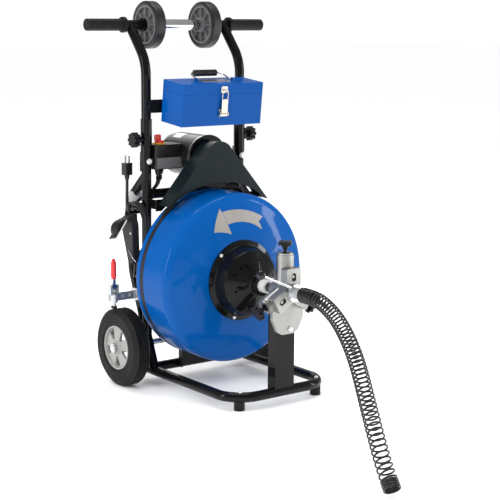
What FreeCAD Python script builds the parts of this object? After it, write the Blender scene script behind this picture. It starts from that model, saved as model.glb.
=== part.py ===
"""Drain snake machine: a belt-driven cable drum on a two-wheeled frame, in millimetres.

+X is the machine's right, +Y its back and +Z up. The floor is z = 0 and the machine's middle plane
is x = 0. Every shape is made with y = 0 near the drum's belt groove, and moved by CENTRE_SHIFT when
it is written, so that the origin is at the bottom centre of the machine's box.
"""
import FreeCAD, Part
import math
import os

# ---- driving dimensions ----
TUBE_R = 12.7            # one inch frame tube
TUBE_WALL = 1.6
FRAME_X = 150.0          # uprights, braces and rails stand at plus and minus this
UPRIGHT_Y = 78.0
RAIL_Z = 32.7
RAIL_FRONT_Y = -308.0
RAIL_BACK_Y = 96.0
RAIL_BEND = 70.0
BRACE_Y = 146.0
REAR_BAR_Y = 75.0
MID_BAR_Z = 497.0
SLEEVE_R = 14.8
SLEEVE_LOW = 593.0
SLEEVE_TOP = 693.0
HANDLE_LOW = 608.0
FIT = 0.06               # radial gap of a part that turns or slides in another
GAP = 0.4                # gap between moving faces that aren't a fit
WHEEL_R = 101.6          # eight inch wheels
WHEEL_W = 50.0
WHEEL_X = 225.0
RIM_R = 57.3
AXLE_R = 8.0
DRUM_Z = 288.0
DRUM_R = 221.0
DRUM_FACE = -135.0
DRUM_BACK = 25.0
DRUM_WALL = 2.2
GROOVE_FRONT, GROOVE_BACK = -12.0, 4.0
BELT_LOW, BELT_HIGH = -10.5, 2.5
BELT_H = 9.0
BELT_SEAT_R = 211.0      # belt seat on the drum
PULLEY_R = 27.0          # and on the motor pulley
MOTOR_Z = 592.0
MOTOR_R = 56.0
MOTOR_FRONT, MOTOR_BACK = 15.0, 170.0
GUARD_R = 45.0
GUARD_TIP = (160.0, 475.0)
GUARD_FRONT = -39.5
GUARD_ARC_R = 243.0
SHAFT_R = 12.0
FEED_Z = 290.0
FEED_Y = -312.0            # plane of the feed's three arms
ARM_R = 21.75
ARM_REACH = {"top": 95.0, "left": 72.0, "right": 72.0}
NOSE_Y = -382.0
BAR_Y = 155.4
BAR_Z = 931.7
BAR_HALF = 280.0
LOADING_R = 62.0
LOADING_X = 89.0
LOADING_W = 31.0
KNOB_Z = 640.5
STUD_R = 4.0
BOX_SIZE = (252.0, 94.0, 108.0)
BOX_CENTRE = (-2.0, -8.8, 737.8)
BOX_TILT = 6.2           # degrees about +X: the box leans forward
LID_DEPTH = 27.0
SHEET = 1.5              # sheet metal
CORD_R = 4.0
HOSE_R = 3.0
SPRING_R = 19.5          # outer radius of the guide hose
COIL_X, COIL_Y, COIL_Z = -176.5, 85.0, 405.0
COIL_BEND = 44.0         # radius of the hanging coil's two round ends
COIL_STRAIGHT = 44.0
COIL_R = 12.0            # radius of the bundle of turns
SWITCH_X, SWITCH_Y = -106.0, 84.0
GLAND_CORD = (-114.0, 78.0, 545.0)
GLAND_HOSE = (-95.0, 96.0, 545.0)
PEDAL_Y = 80.0
PEDAL_HINGE = (-217.0, PEDAL_Y, 436.0)
TREADLE_OPEN = 40.0
PEDAL_LEAN = -11.0         # the pedal hangs with its foot forward
CENTRE_SHIFT = -(NOSE_Y + BAR_Y + LOADING_R) / 2

V = FreeCAD.Vector
X_AXIS, Y_AXIS, Z_AXIS = V(1, 0, 0), V(0, 1, 0), V(0, 0, 1)
FEED_ANGLES = {"top": 90, "left": 210, "right": 330}
parts = {}


# ---- shape helpers ----
def cylinder(start, end, radius):
    """Solid cylinder between two points."""
    start, axis = V(*start), V(*end) - V(*start)
    return Part.makeCylinder(radius, axis.Length, start, axis)


def pipe(start, end, outer, inner):
    """Straight tube between two points."""
    return cylinder(start, end, outer).cut(cylinder(start, end, inner))


def block(low, high):
    """Box from its low corner to its high corner."""
    size = V(*high) - V(*low)
    return Part.makeBox(size.x, size.y, size.z, V(*low))


def rounded(shape, radius, direction):
    """Round the straight edges of a box that run along a direction."""
    edges = [e for e in shape.Edges if abs(e.tangentAt(e.FirstParameter).dot(direction)) > 0.99]
    return shape.makeFillet(radius, edges)


def join(*shapes):
    """Fuse shapes that share faces or overlap into one solid."""
    return shapes[0].fuse(list(shapes[1:])).removeSplitter()


def group(*shapes):
    """Separate solids kept in one node."""
    return Part.makeCompound([solid for shape in shapes for solid in shape.Solids])


def biggest(shape):
    """The largest solid of a cut shape."""
    return max(shape.Solids, key=lambda solid: solid.Volume)


def outline(points, radii):
    """Closed wire in the XZ plane with chosen corners rounded: radii maps a corner to its radius."""
    corners = [V(a, 0, b) for a, b in points]
    count, edges, ends = len(corners), [], []
    for index, corner in enumerate(corners):
        radius = radii.get(index, 0)
        if not radius:
            ends.append((corner, corner))
            continue
        a = (corners[index - 1] - corner).normalize()
        b = (corners[(index + 1) % count] - corner).normalize()
        half = a.getAngle(b) / 2
        reach = radius / math.tan(half)
        middle = corner + (a + b).normalize() * (radius / math.sin(half) - radius)
        ends.append((corner + a * reach, corner + b * reach))
        edges.append(Part.Arc(ends[-1][0], middle, ends[-1][1]).toShape())
    for index in range(count):
        start, end = ends[index][1], ends[(index + 1) % count][0]
        if (end - start).Length > 1e-6:
            edges.append(Part.LineSegment(start, end).toShape())
    return Part.Wire(Part.__sortEdges__(edges))


def turned(profile, origin=(0, 0, DRUM_Z), axis=Y_AXIS, radii=None):
    """Solid of revolution: profile holds (radius, distance along the axis from the origin)."""
    solid = Part.Face(outline(profile, radii or {})).revolve(V(0, 0, 0), Z_AXIS, 360)
    solid.Placement = FreeCAD.Placement(V(*origin), FreeCAD.Rotation(Z_AXIS, axis))
    return solid


def plate(points, low, high, radii=None):
    """Outline in X and Z, filled and extruded from y = low to y = high."""
    face = Part.Face(outline(points, radii or {}))
    face.translate(V(0, low, 0))
    return face.extrude(V(0, high - low, 0))


def bends(points, radii):
    """Edges of straight runs joined by tangent arcs, one radius for each inner point."""
    edges, last = [], V(*points[0])
    for before, corner, after, radius in zip(points, points[1:], points[2:], radii):
        corner = V(*corner)
        a = (V(*before) - corner).normalize()
        b = (V(*after) - corner).normalize()
        half = a.getAngle(b) / 2
        reach = radius / math.tan(half)
        first, final = corner + a * reach, corner + b * reach
        middle = corner + (a + b).normalize() * (radius / math.sin(half) - radius)
        edges.append(Part.LineSegment(last, first).toShape())
        edges.append(Part.Arc(first, middle, final).toShape())
        last = final
    edges.append(Part.LineSegment(last, V(*points[-1])).toShape())
    return edges


def swept(points, radii, outer, inner=0.0):
    """Round bar or tube along straight runs and arcs."""
    wire = Part.Wire(bends(points, radii))
    direction = V(*points[1]) - V(*points[0])

    def solid(radius):
        ring = Part.Wire(Part.Circle(V(*points[0]), direction, radius).toShape())
        return wire.makePipeShell([ring], True, False)

    return solid(outer).cut(solid(inner)) if inner else solid(outer)


def cord(name, points, radius):
    """Free cord: arcs as large as its runs allow, and a check of its volume."""
    radii = []
    for before, corner, after in zip(points, points[1:], points[2:]):
        a, b = V(*corner) - V(*before), V(*after) - V(*corner)
        radii.append(0.45 * min(a.Length, b.Length) / math.tan(a.getAngle(b) / 2))
    solid = swept(points, radii, radius)
    length = Part.Wire(bends(points, radii)).Length
    ratio = solid.Volume / (math.pi * radius ** 2 * length)
    print(f"{name}: length {length:.0f}, volume ratio {ratio:.4f}, arcs {[round(r) for r in radii]}")
    return solid


def mirrored(shape):
    return shape.mirror(V(0, 0, 0), X_AXIS)


def turn(shape, pivot, axis, angle):
    copy = shape.copy()
    copy.rotate(V(*pivot), axis, angle)
    return copy


def both(shape):
    """The shape and its mirror image on the other side of the machine."""
    return group(shape, mirrored(shape))


def ring_of(shape, centre, angles):
    """Copies of a shape turned about the drum's direction, counter-clockwise seen from the front."""
    return group(*[turn(shape, centre, Y_AXIS, -angle) for angle in angles])


def star(centre, axis, outer, depth, lobes, lobe_r):
    """Lobed knob head, its back face at the centre."""
    head = Part.makeCylinder(outer - lobe_r, depth)
    for step in range(lobes):
        angle = 2 * math.pi * step / lobes
        at = V((outer - lobe_r) * math.cos(angle), (outer - lobe_r) * math.sin(angle), 0)
        head = head.fuse(Part.makeCylinder(lobe_r, depth, at))
    head = head.removeSplitter()
    head.Placement = FreeCAD.Placement(V(*centre), FreeCAD.Rotation(Z_AXIS, axis))
    return head


def bolt(at, direction, head_r=6.5, head_h=4.5):
    """Domed bolt head standing on a surface."""
    direction = V(*direction)
    profile = [(0, 0), (head_r, 0), (head_r, head_h * 0.55), (head_r * 0.6, head_h), (0, head_h)]
    return turned(profile, at, direction)


# ---- frame ----
rail_route = [(-FRAME_X, RAIL_BACK_Y, RAIL_Z), (-FRAME_X, RAIL_FRONT_Y, RAIL_Z),
              (FRAME_X, RAIL_FRONT_Y, RAIL_Z), (FRAME_X, RAIL_BACK_Y, RAIL_Z)]
rail_solid = swept(rail_route, [RAIL_BEND] * 2, TUBE_R)
upright_solids = both(cylinder((-FRAME_X, UPRIGHT_Y, RAIL_Z), (-FRAME_X, UPRIGHT_Y, SLEEVE_LOW), TUBE_R))
axle_room = cylinder((-FRAME_X - 30, UPRIGHT_Y, WHEEL_R), (FRAME_X + 30, UPRIGHT_Y, WHEEL_R), AXLE_R)


def make_base():
    parts["base_rail"] = swept(rail_route, [RAIL_BEND] * 2, TUBE_R, TUBE_R - TUBE_WALL)
    foot_x, foot_y, foot_r, foot_top = 122.0, -291.0, 13.5, 24.0
    foot = cylinder((-foot_x, foot_y, 0), (-foot_x, foot_y, foot_top), foot_r).cut(rail_solid)
    parts["rubber_feet"] = both(biggest(foot))
    rail_top = RAIL_Z + TUBE_R
    bolt_z = 584.0
    lower_bolt = bolt((-FRAME_X, UPRIGHT_Y - TUBE_R - 0.2, bolt_z), (0, -1, 0), 7.5, 5.0)
    foot_screw = bolt((-foot_x, foot_y - 2.5, rail_top - 0.6), (0, 0, 1), 4.5, 4.4).cut(rail_solid)
    parts["frame_bolts"] = group(both(biggest(foot_screw)), both(biggest(lower_bolt.cut(upright_solids))))


def make_uprights():
    """Each upright is a tube with a wider sleeve on top, where the handle tube is clamped."""
    x, y = -FRAME_X, UPRIGHT_Y
    tube = pipe((x, y, RAIL_Z), (x, y, HANDLE_LOW - 0.5), TUBE_R, TUBE_R - TUBE_WALL)
    low_sleeve = pipe((x, y, SLEEVE_LOW), (x, y, HANDLE_LOW - 0.5), SLEEVE_R, TUBE_R - TUBE_WALL)
    sleeve = pipe((x, y, HANDLE_LOW - 0.5), (x, y, SLEEVE_TOP), SLEEVE_R, TUBE_R + FIT)
    boss = cylinder((x - TUBE_R - 1, y, KNOB_Z), (x - SLEEVE_R - 6, y, KNOB_Z), 8)
    lug = block((x - 6, y + SLEEVE_R - 2, 556), (x + 6, y + SLEEVE_R + 7, 607))
    body = tube.fuse([low_sleeve, sleeve, boss, lug])
    body = body.cut(cylinder((x, y, HANDLE_LOW - 0.5), (x, y, SLEEVE_TOP), TUBE_R + FIT))
    body = body.cut(cylinder((x, y, RAIL_Z), (x, y, HANDLE_LOW - 1), TUBE_R - TUBE_WALL))
    body = body.cut(cylinder((x - 40, y, KNOB_Z), (x - TUBE_R, y, KNOB_Z), STUD_R + FIT))
    body = biggest(body.cut(axle_room).cut(rail_solid).removeSplitter())
    hook_y, hook_z, hook_r, hook_end = 84.0, 452.0, 4.0, -200.0
    hook_route = [(x - 11.0, hook_y, hook_z), (hook_end, hook_y, hook_z), (hook_end, hook_y, hook_z + 26)]
    hook = swept(hook_route, [8], hook_r).cut(upright_solids)
    parts["uprights"] = group(body, mirrored(body), biggest(hook))


def make_braces():
    """Rear brace: leaves the upright, stands behind it, and slants down and forward to the rail."""
    slant_low = 42.0
    route = [(-FRAME_X, UPRIGHT_Y, 548), (-FRAME_X, BRACE_Y, 486), (-FRAME_X, BRACE_Y, 291),
             (-FRAME_X, slant_low, RAIL_Z)]
    brace = swept(route, [40, 90], TUBE_R, TUBE_R - TUBE_WALL)
    brace = brace.cut(upright_solids).cut(rail_solid).cut(axle_room)
    kept = [s for s in brace.Solids if s.Volume > 2000 and s.BoundBox.ZMax > RAIL_Z + TUBE_R + 5]
    parts["rear_braces"] = both(group(*kept))


def cross_tube(y, z):
    """Straight tube between the two sides, its ends coped round what it is welded to."""
    half = pipe((0, y, z), (FRAME_X, y, z), TUBE_R, TUBE_R - TUBE_WALL)
    weld_gap = 0.01
    half = half.cut(cylinder((FRAME_X, y - 40, RAIL_Z), (FRAME_X, y + 40, RAIL_Z), TUBE_R + weld_gap))
    half = biggest(half.cut(upright_solids))
    return join(half, mirrored(half))


def make_axle():
    end = WHEEL_X + WHEEL_W / 2
    axle = cylinder((-end - 9, UPRIGHT_Y, WHEEL_R), (end + 9, UPRIGHT_Y, WHEEL_R), AXLE_R)
    nut = pipe((-end - 8, UPRIGHT_Y, WHEEL_R), (-end - 1, UPRIGHT_Y, WHEEL_R), 12.0, AXLE_R)
    parts["wheel_axle"] = group(axle, both(nut))


def make_wheel(side):
    """Tyre with four grooves round its tread, on a five-spoke rim that turns on the axle."""
    half, groove_w, groove_d = WHEEL_W / 2, 3.2, 3.5
    tyre = [(RIM_R, -half + 4), (RIM_R + 8, -half), (WHEEL_R - 12, -half), (WHEEL_R, -half + 9)]
    for middle in (-11.0, -3.8, 3.8, 11.0):
        tyre += [(WHEEL_R, middle - groove_w / 2), (WHEEL_R - groove_d, middle - groove_w / 3),
                 (WHEEL_R - groove_d, middle + groove_w / 3), (WHEEL_R, middle + groove_w / 2)]
    tyre += [(WHEEL_R, half - 9), (WHEEL_R - 12, half), (RIM_R + 8, half), (RIM_R, half - 4)]
    centre = (side * WHEEL_X, UPRIGHT_Y, WHEEL_R)
    axis = V(side, 0, 0)
    tyre_solid = turned(tyre, centre, axis, {2: 8, len(tyre) - 3: 8})
    bore = AXLE_R + FIT
    rim = [(bore, -half - 2), (15, -half - 2), (17, half - 14), (RIM_R - 7, half - 14),
           (RIM_R - 5, -half + 5), (RIM_R, -half + 5), (RIM_R, half - 2.5), (RIM_R - 3.5, half - 2.5),
           (RIM_R - 5, half - 8), (18, half - 5), (14, half), (bore, half)]
    rim_solid = turned(rim, centre, axis)
    pocket = [(23, -3.2), (RIM_R - 8, -13.5), (RIM_R - 6.5, 0), (RIM_R - 8, 13.5), (23, 3.2)]
    wedge = Part.Face(outline(pocket, {0: 2, 1: 4, 3: 4, 4: 2})).extrude(V(0, WHEEL_W + 20, 0))
    wedge.translate(V(0, -WHEEL_W / 2 - 10, 0))
    wedge.Placement = FreeCAD.Placement(V(*centre), FreeCAD.Rotation(Y_AXIS, X_AXIS)).multiply(wedge.Placement)
    for step in range(5):
        rim_solid = rim_solid.cut(turn(wedge, centre, X_AXIS, 72 * step + 18))
    name = "left" if side < 0 else "right"
    parts["tyre_" + name] = tyre_solid
    parts["rim_" + name] = rim_solid


# ---- drum and its drive ----
def make_drum():
    """Two pressed shells with the belt groove between them, open to each other inside."""
    wall, corner = DRUM_WALL, 24.0
    shell = turned([(0, DRUM_FACE), (106, DRUM_FACE), (165, -127.5), (DRUM_R, -113),
                    (DRUM_R, GROOVE_FRONT), (0, GROOVE_FRONT)], radii={1: 120, 2: 260, 3: corner})
    inside = turned([(0, DRUM_FACE + wall), (106, DRUM_FACE + wall), (165, -127.5 + wall),
                     (DRUM_R - wall, -113 + wall), (DRUM_R - wall, GROOVE_FRONT - wall),
                     (205, GROOVE_FRONT - wall), (205, GROOVE_FRONT + 5), (0, GROOVE_FRONT + 5)],
                    radii={1: 120, 2: 260, 3: corner - wall})
    hub_opening = cylinder((0, DRUM_FACE - 5, DRUM_Z), (0, DRUM_FACE + 5, DRUM_Z), 60)
    parts["drum_front"] = shell.cut(inside).cut(hub_opening)
    inner = DRUM_R - wall
    back = [(205, GROOVE_FRONT), (BELT_SEAT_R, GROOVE_FRONT), (BELT_SEAT_R, GROOVE_BACK),
            (DRUM_R, GROOVE_BACK), (DRUM_R, DRUM_BACK), (SHAFT_R, DRUM_BACK),
            (SHAFT_R, DRUM_BACK - wall), (inner, DRUM_BACK - wall), (inner, GROOVE_BACK + wall),
            (205, GROOVE_BACK + wall)]
    parts["drum_back"] = turned(back, radii={4: 9, 7: 7})
    hub = [(17.5, -225), (27, -225), (27, -207), (82, -178), (91, -141.5), (104, -138.5),
           (104, DRUM_FACE), (88, DRUM_FACE), (79.2, -175.4), (17.5, -203.4)]
    hub_solid = turned(hub, radii={2: 6, 3: 5, 4: 3})
    vent = cylinder((60, -215, DRUM_Z), (60, -170, DRUM_Z), 3.0)
    parts["drum_hub"] = hub_solid.cut(ring_of(vent, (0, 0, DRUM_Z), range(15, 360, 60)))
    hub_bolt = biggest(bolt((98, -139.2, DRUM_Z), (0, -1, 0), 4.6, 4.2).cut(hub_solid))
    parts["drum_bolts"] = ring_of(hub_bolt, (0, 0, DRUM_Z), (134, 254.5, 14.5))
    parts["hub_neck"] = turned([(13, -250), (17.5, -250), (17.5, -206), (13, -206)])
    shaft = [(0, 17), (34, 17), (34, DRUM_BACK - wall), (SHAFT_R, DRUM_BACK - wall), (SHAFT_R, 92), (0, 92)]
    parts["drum_shaft"] = turned(shaft)
    cable_r = 6.35
    rows = [Part.makeTorus(209, cable_r, V(0, -96 + 13 * step, DRUM_Z), Y_AXIS) for step in range(6)]
    rows += [Part.makeTorus(197.5, cable_r, V(0, -89.5 + 13 * step, DRUM_Z), Y_AXIS) for step in range(5)]
    parts["drain_cable"] = group(*rows)


def belt_loop(extra, low, high):
    """Band round the drum and the motor pulley: extra is its height above the belt seats."""
    big, small = BELT_SEAT_R + extra, PULLEY_R + extra
    lift = math.asin((big - small) / (MOTOR_Z - DRUM_Z))

    def on(radius, z, angle, sign=1):
        return V(sign * radius * math.cos(angle), low, z + radius * math.sin(angle))

    drum_right, drum_left = on(big, DRUM_Z, lift), on(big, DRUM_Z, lift, -1)
    top_right, top_left = on(small, MOTOR_Z, lift), on(small, MOTOR_Z, lift, -1)
    edges = [Part.Arc(drum_right, V(0, low, DRUM_Z - big), drum_left).toShape(),
             Part.LineSegment(drum_left, top_left).toShape(),
             Part.Arc(top_left, V(0, low, MOTOR_Z + small), top_right).toShape(),
             Part.LineSegment(top_right, drum_right).toShape()]
    return Part.Face(Part.Wire(edges)).extrude(V(0, high - low, 0))


def guard_solid(inset, front, back):
    """Rounded triangle over the motor pulley, its sides running down to the two tips."""
    tip_x, tip_z = GUARD_TIP
    distance = math.hypot(tip_x, tip_z - MOTOR_Z)
    normal = math.acos(GUARD_R / distance) + math.atan2(tip_z - MOTOR_Z, tip_x)
    radius = GUARD_R - inset
    touch = (radius * math.cos(normal), MOTOR_Z + radius * math.sin(normal))
    run = 190.0
    low = (touch[0] + run * math.sin(normal), touch[1] - run * math.cos(normal))
    apex_z = MOTOR_Z + radius / math.sin(normal)
    points = [(0, apex_z), (low[0], low[1]), (-low[0], low[1])]
    face = Part.Face(outline(points, {0: radius}))
    face.translate(V(0, front, 0))
    solid = face.extrude(V(0, back - front, 0))
    solid = solid.cut(cylinder((0, front - 1, DRUM_Z), (0, back + 1, DRUM_Z), GUARD_ARC_R))
    return biggest(solid.common(block((-tip_x, front, tip_z), (tip_x, back, MOTOR_Z + 100))))


def make_drive():
    parts["drive_belt"] = belt_loop(GAP + BELT_H, BELT_LOW, BELT_HIGH).cut(
        belt_loop(GAP, BELT_LOW, BELT_HIGH))
    shell = guard_solid(0, GUARD_FRONT, MOTOR_FRONT - 3)
    parts["belt_guard"] = biggest(shell.cut(guard_solid(SHEET, GUARD_FRONT + SHEET, MOTOR_FRONT)))
    motor_at = (0, 0, MOTOR_Z)
    face, back = MOTOR_FRONT, MOTOR_BACK
    motor = [(7 + FIT, face), (MOTOR_R - 4, face), (MOTOR_R - 4, face + 8), (MOTOR_R, face + 8),
             (MOTOR_R, back - 26), (MOTOR_R - 3, back - 26), (MOTOR_R - 3, back), (0, back), (0, 106),
             (7 + FIT, 106)]
    parts["motor_body"] = turned(motor, motor_at, radii={6: 12})
    pulley = [(0, -13), (33, -13), (33, -11.2), (PULLEY_R, -10.9), (PULLEY_R, 2.9), (33, 3.2), (33, 5),
              (14, 5), (14, 9), (7, 9), (7, 105), (0, 105)]
    parts["motor_pulley"] = turned(pulley, motor_at)


def make_motor_mount():
    """Face plate behind the guard, a shelf on the middle cross tube, and lugs for the guard's tips."""
    half, thick = 58.0, 3.0
    face, shelf = MOTOR_FRONT, MID_BAR_Z + TUBE_R
    front = plate([(-half, shelf), (half, shelf), (half, MOTOR_Z + half), (-half, MOTOR_Z + half)],
                  face - thick, face, {2: half - 1, 3: half - 1})
    front = front.cut(cylinder((0, face - 9, MOTOR_Z), (0, face + 9, MOTOR_Z), 20))
    floor = block((-half, face - thick, shelf), (half, 96, shelf + thick))
    web_points = [V(half - thick, face, shelf), V(half - thick, 92, shelf), V(half - thick, face, shelf + 62)]
    web = Part.Face(Part.makePolygon(web_points + web_points[:1])).extrude(V(thick, 0, 0))
    mount = join(front, floor, web, mirrored(web))
    tip_x, tip_z = GUARD_TIP
    lug = block((118, face - thick, tip_z - 14), (tip_x + 4, face, tip_z + 16))
    strap = block((FRAME_X - 1.5, face, tip_z - 12), (FRAME_X + 1.5, UPRIGHT_Y, tip_z + 12))
    lug = join(lug, strap).cut(cylinder((0, 0, DRUM_Z), (0, 99, DRUM_Z), DRUM_R + 6)).cut(upright_solids)
    parts["motor_mount"] = group(mount, both(biggest(lug)))


def make_bearing_support():
    """Sheet channel standing on the rear cross tube, with the flange bearing on its back."""
    half, web_front, web_back, top = 60.0, 60.0, 63.0, 352.0
    low = RAIL_Z - 6
    web = block((-half, web_front, low), (half, web_back, top))
    flange = block((-half, 46, low), (-half + 3, web_front, top))
    channel = join(web, flange, mirrored(flange))
    channel = channel.cut(cylinder((0, 40, DRUM_Z), (0, 70, DRUM_Z), SHAFT_R + 3))
    bar = cylinder((-FRAME_X, REAR_BAR_Y, RAIL_Z), (FRAME_X, REAR_BAR_Y, RAIL_Z), TUBE_R)
    parts["bearing_channel"] = biggest(channel.cut(bar))
    housing = turned([(SHAFT_R + FIT, web_back), (44, web_back), (44, web_back + 6), (27, web_back + 10),
                      (27, web_back + 20), (SHAFT_R + FIT, web_back + 20)], radii={3: 3})
    flange_bolt = bolt((35, web_back + 6.5, DRUM_Z), (0, 1, 0), 5, 4)
    parts["rear_bearing"] = group(housing, ring_of(flange_bolt, (0, 0, DRUM_Z), (45, 135, 225, 315)))


def make_switch_box():
    """Box on the motor's left side with two cable glands below and a rotary switch on top."""
    low, high = (-134.5, 58.0, 562.0), (-48.0, 118.0, 626.0)
    box = rounded(block(low, high), 5, Z_AXIS)
    box = biggest(box.cut(cylinder((0, 0, MOTOR_Z), (0, 200, MOTOR_Z), MOTOR_R)))
    glands = [join(cylinder((x, y, 562), (x, y, 552), 8.5), cylinder((x, y, 552), (x, y, 545), 6.5))
              for x, y in (GLAND_CORD[:2], GLAND_HOSE[:2])]
    top = high[2]
    plate_disc = cylinder((SWITCH_X, SWITCH_Y, top), (SWITCH_X, SWITCH_Y, top + 3), 17)
    parts["switch_box"] = join(box, plate_disc, *glands)
    knob = cylinder((SWITCH_X, SWITCH_Y, top + 3 + GAP), (SWITCH_X, SWITCH_Y, top + 9), 12)
    grip = block((SWITCH_X - 13, SWITCH_Y - 4.5, top + 6), (SWITCH_X + 3, SWITCH_Y + 4.5, top + 25))
    parts["switch_knob"] = join(knob, rounded(grip, 3.5, Y_AXIS))


# ---- power feed ----
def radial(shape, angle):
    """Turn a shape made along the feed's +X direction to its arm's angle."""
    return turn(shape, (0, FEED_Y, FEED_Z), Y_AXIS, -angle)


def make_feed():
    """Cast body with three arms; each holds a roller and the screw that presses it on the cable."""
    y, z = FEED_Y, FEED_Z
    body_back, body_front, slab_front = y + 20, y - 34, y - 35.5
    plate_front = y - 14
    body = cylinder((0, body_back, z), (0, body_front, z), 27)
    spigot = cylinder((0, body_back + 16, z), (0, body_back, z), 20)
    neck = cylinder((0, -250 - FIT * 10, z), (0, body_back + 17, z), 18)
    foot = plate([(-49, 246), (-48.5, 221), (-33, 190), (-18, 182), (18, 182), (33, 190), (48.5, 221), (49, 246)],
                 plate_front, plate_front + 9, {1: 12, 2: 8, 5: 8, 6: 12})
    web = plate([(-24, z - 10), (24, z - 10), (44, 240), (-44, 240)], plate_front, plate_front + 20)
    arms, bores = [], []
    for name, angle in FEED_ANGLES.items():
        reach = ARM_REACH[name]
        arms.append(radial(join(cylinder((0, y, z), (reach - 5, y, z), ARM_R),
                                cylinder((reach - 5, y, z), (reach, y, z), ARM_R - 2)), angle))
        bores.append(radial(cylinder((5, y, z), (reach + 1, y, z), 10.5), angle))
    body = body.fuse([spigot, neck, foot, web] + arms)
    body = body.cut([cylinder((0, -240, z), (0, y - 60, z), 9)] + bores)
    parts["feed_body"] = biggest(body.removeSplitter())
    slab = rounded(block((17, slab_front, z - 22), (60, y - 12, z + 22)), 4, Y_AXIS)
    slot = cylinder((35, y - 50, z), (35, y - 24, z), 7).fuse(
        [cylinder((42, y - 50, z), (42, y - 24, z), 7), block((35, y - 50, z - 7), (42, y - 24, z + 7))])
    screw = cylinder((40, y - 24, z), (40, y - 33, z), 4)
    cover = slab.cut(slot).cut(cylinder((0, y - 50, z), (0, y - 32, z), 22.5)).fuse(screw)
    parts["feed_blocks"] = group(*[biggest(radial(cover, angle).cut(parts["feed_body"]).cut(bore))
                                   for angle, bore in zip(FEED_ANGLES.values(), bores)])
    nose_r, collar_back, collar_front = 14.0, slab_front - GAP, slab_front - 9.4
    parts["nose_tube"] = turned([(11, NOSE_Y), (nose_r, NOSE_Y), (nose_r, body_front - 1.2), (20, body_front - 1.2),
                                 (20, body_front), (11, body_front)], (0, 0, z))
    for name, angle in FEED_ANGLES.items():
        reach = ARM_REACH[name]
        roller = turn(cylinder((17.8, y - 6, z), (17.8, y + 6, z), 8), (17.8, y, z), X_AXIS, 25)
        parts["feed_roller_" + name] = radial(roller, angle)
        carrier = cylinder((29, y, z), (reach - 20, y, z), 10.5 - FIT)
        rod = cylinder((reach - 20, y, z), (reach + 17, y, z), 4)
        stem = turned([(0, 0), (6, 0), (9, 8), (9, 12), (0, 12)], (reach + 8, y, z), X_AXIS)
        head = star((reach + 19, y, z), X_AXIS, 20, 9, 4 if name == "top" else 8, 6 if name == "top" else 5)
        parts["feed_knob_" + name] = radial(join(carrier, rod, stem, head), angle)
    ball = V(-107, (collar_back + collar_front) / 2, 347)
    rod_start = V(-13, ball.y, z + 15)
    collar = pipe((0, collar_front, z), (0, collar_back, z), 22, nose_r + FIT)
    rod = cylinder(tuple(rod_start), tuple(ball), 3.6)
    rod = rod.cut(cylinder((0, collar_front - 9, z), (0, collar_back + 9, z), nose_r + 1))
    knob = Part.makeSphere(12, ball, rod_start.sub(ball), -90, 70, 360)
    parts["feed_lever"] = join(collar, rod, knob)
    half, front, back = 30, plate_front + 10, plate_front + 40
    channel = block((-half, front, RAIL_Z - 3), (half, back, 242))
    channel = channel.cut(block((-half + 3, front + 3, 0), (half - 3, back + 1, 260)))
    channel = join(channel, block((-half, front, 236), (half, back, 242)))
    parts["feed_post"] = biggest(channel.cut(rail_solid).cut(parts["feed_body"]))
    parts["frame_bolts"] = group(parts["frame_bolts"], bolt((8, plate_front - 0.2, 194.5), (0, -1, 0), 7, 5))


# ---- handle, loading wheels and knobs ----
def make_handle():
    """Two bent tubes that stand in the uprights' sleeves and carry the handlebar."""
    slope = math.radians(40)
    corner_z = BAR_Z - (BAR_Y - UPRIGHT_Y) / math.tan(slope)
    bar_solid = cylinder((-BAR_HALF, BAR_Y, BAR_Z), (BAR_HALF, BAR_Y, BAR_Z), TUBE_R)
    route = [(-FRAME_X, UPRIGHT_Y, HANDLE_LOW), (-FRAME_X, UPRIGHT_Y, corner_z), (-FRAME_X, BAR_Y, BAR_Z)]
    tube = biggest(swept(route, [100], TUBE_R, TUBE_R - TUBE_WALL).cut(bar_solid))
    bar_end, grip_start = BAR_HALF - 4, FRAME_X + TUBE_R + 1
    bar = pipe((-bar_end, BAR_Y, BAR_Z), (bar_end, BAR_Y, BAR_Z), TUBE_R, TUBE_R - TUBE_WALL)
    collar = pipe((-112, BAR_Y, BAR_Z), (-106, BAR_Y, BAR_Z), 18, TUBE_R)
    parts["handle_frame"] = group(join(bar, collar, mirrored(collar)), both(tube))
    grip = [(TUBE_R, grip_start), (20.5, grip_start), (20.5, grip_start + 10), (15.7, grip_start + 13),
            (15.7, BAR_HALF), (0, BAR_HALF), (0, bar_end), (TUBE_R, bar_end)]
    parts["hand_grips"] = both(turned(grip, (0, BAR_Y, BAR_Z), V(-1, 0, 0), {1: 2, 2: 2, 4: 3}))
    spacer = LOADING_X - LOADING_W / 2 - 1
    parts["spacer_tube"] = pipe((-spacer, BAR_Y, BAR_Z), (spacer, BAR_Y, BAR_Z), 14.4, TUBE_R)


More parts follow.
